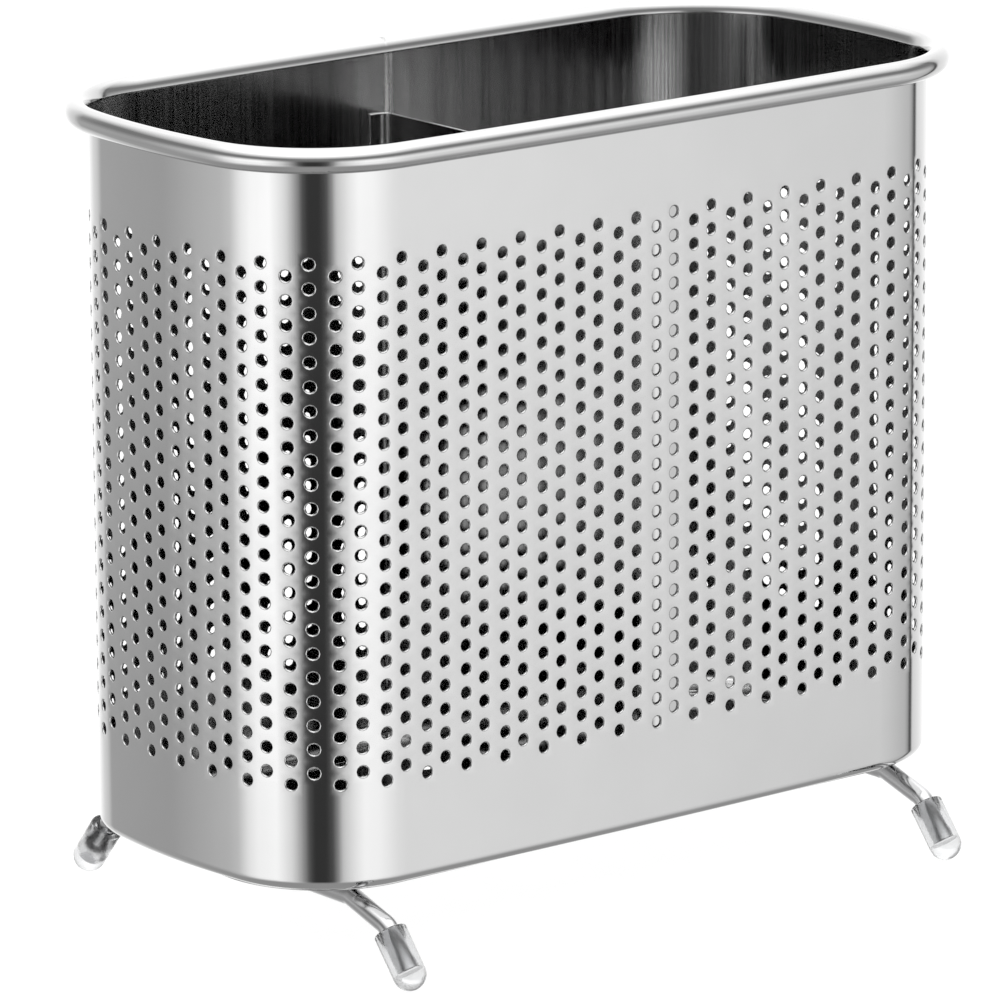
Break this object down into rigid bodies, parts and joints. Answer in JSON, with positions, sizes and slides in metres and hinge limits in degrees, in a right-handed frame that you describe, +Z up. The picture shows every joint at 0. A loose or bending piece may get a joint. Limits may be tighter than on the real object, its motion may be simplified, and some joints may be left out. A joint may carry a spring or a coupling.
{
  "type": "cutlery holder",
  "caption": "Free-standing perforated stainless cutlery holder with a rolled rim and a fixed divider, on splayed wire legs with clear foot caps.",
  "frame": {"origin": "middle of the footprint, on the surface that the foot caps stand on", "axes": "+X along the length, -Y to the front, +Z up"},
  "size_m": [0.1934, 0.117, 0.172],
  "materials": {
    "polished_sheet": "polished stainless sheet with a faint vertical grain",
    "bright_wire": "bright drawn stainless wire",
    "clear_plastic": "clear soft plastic, glossy"
  },
  "bodies": {
    "root": {"perforated_shell": "polished_sheet", "base_plate": "polished_sheet", "divider": "polished_sheet", "leg_bow_left": "bright_wire", "leg_bow_right": "bright_wire", "foot_cap_front_left": "clear_plastic", "foot_cap_front_right": "clear_plastic", "foot_cap_back_left": "clear_plastic", "foot_cap_back_right": "clear_plastic"}
  },
  "joints": []
}
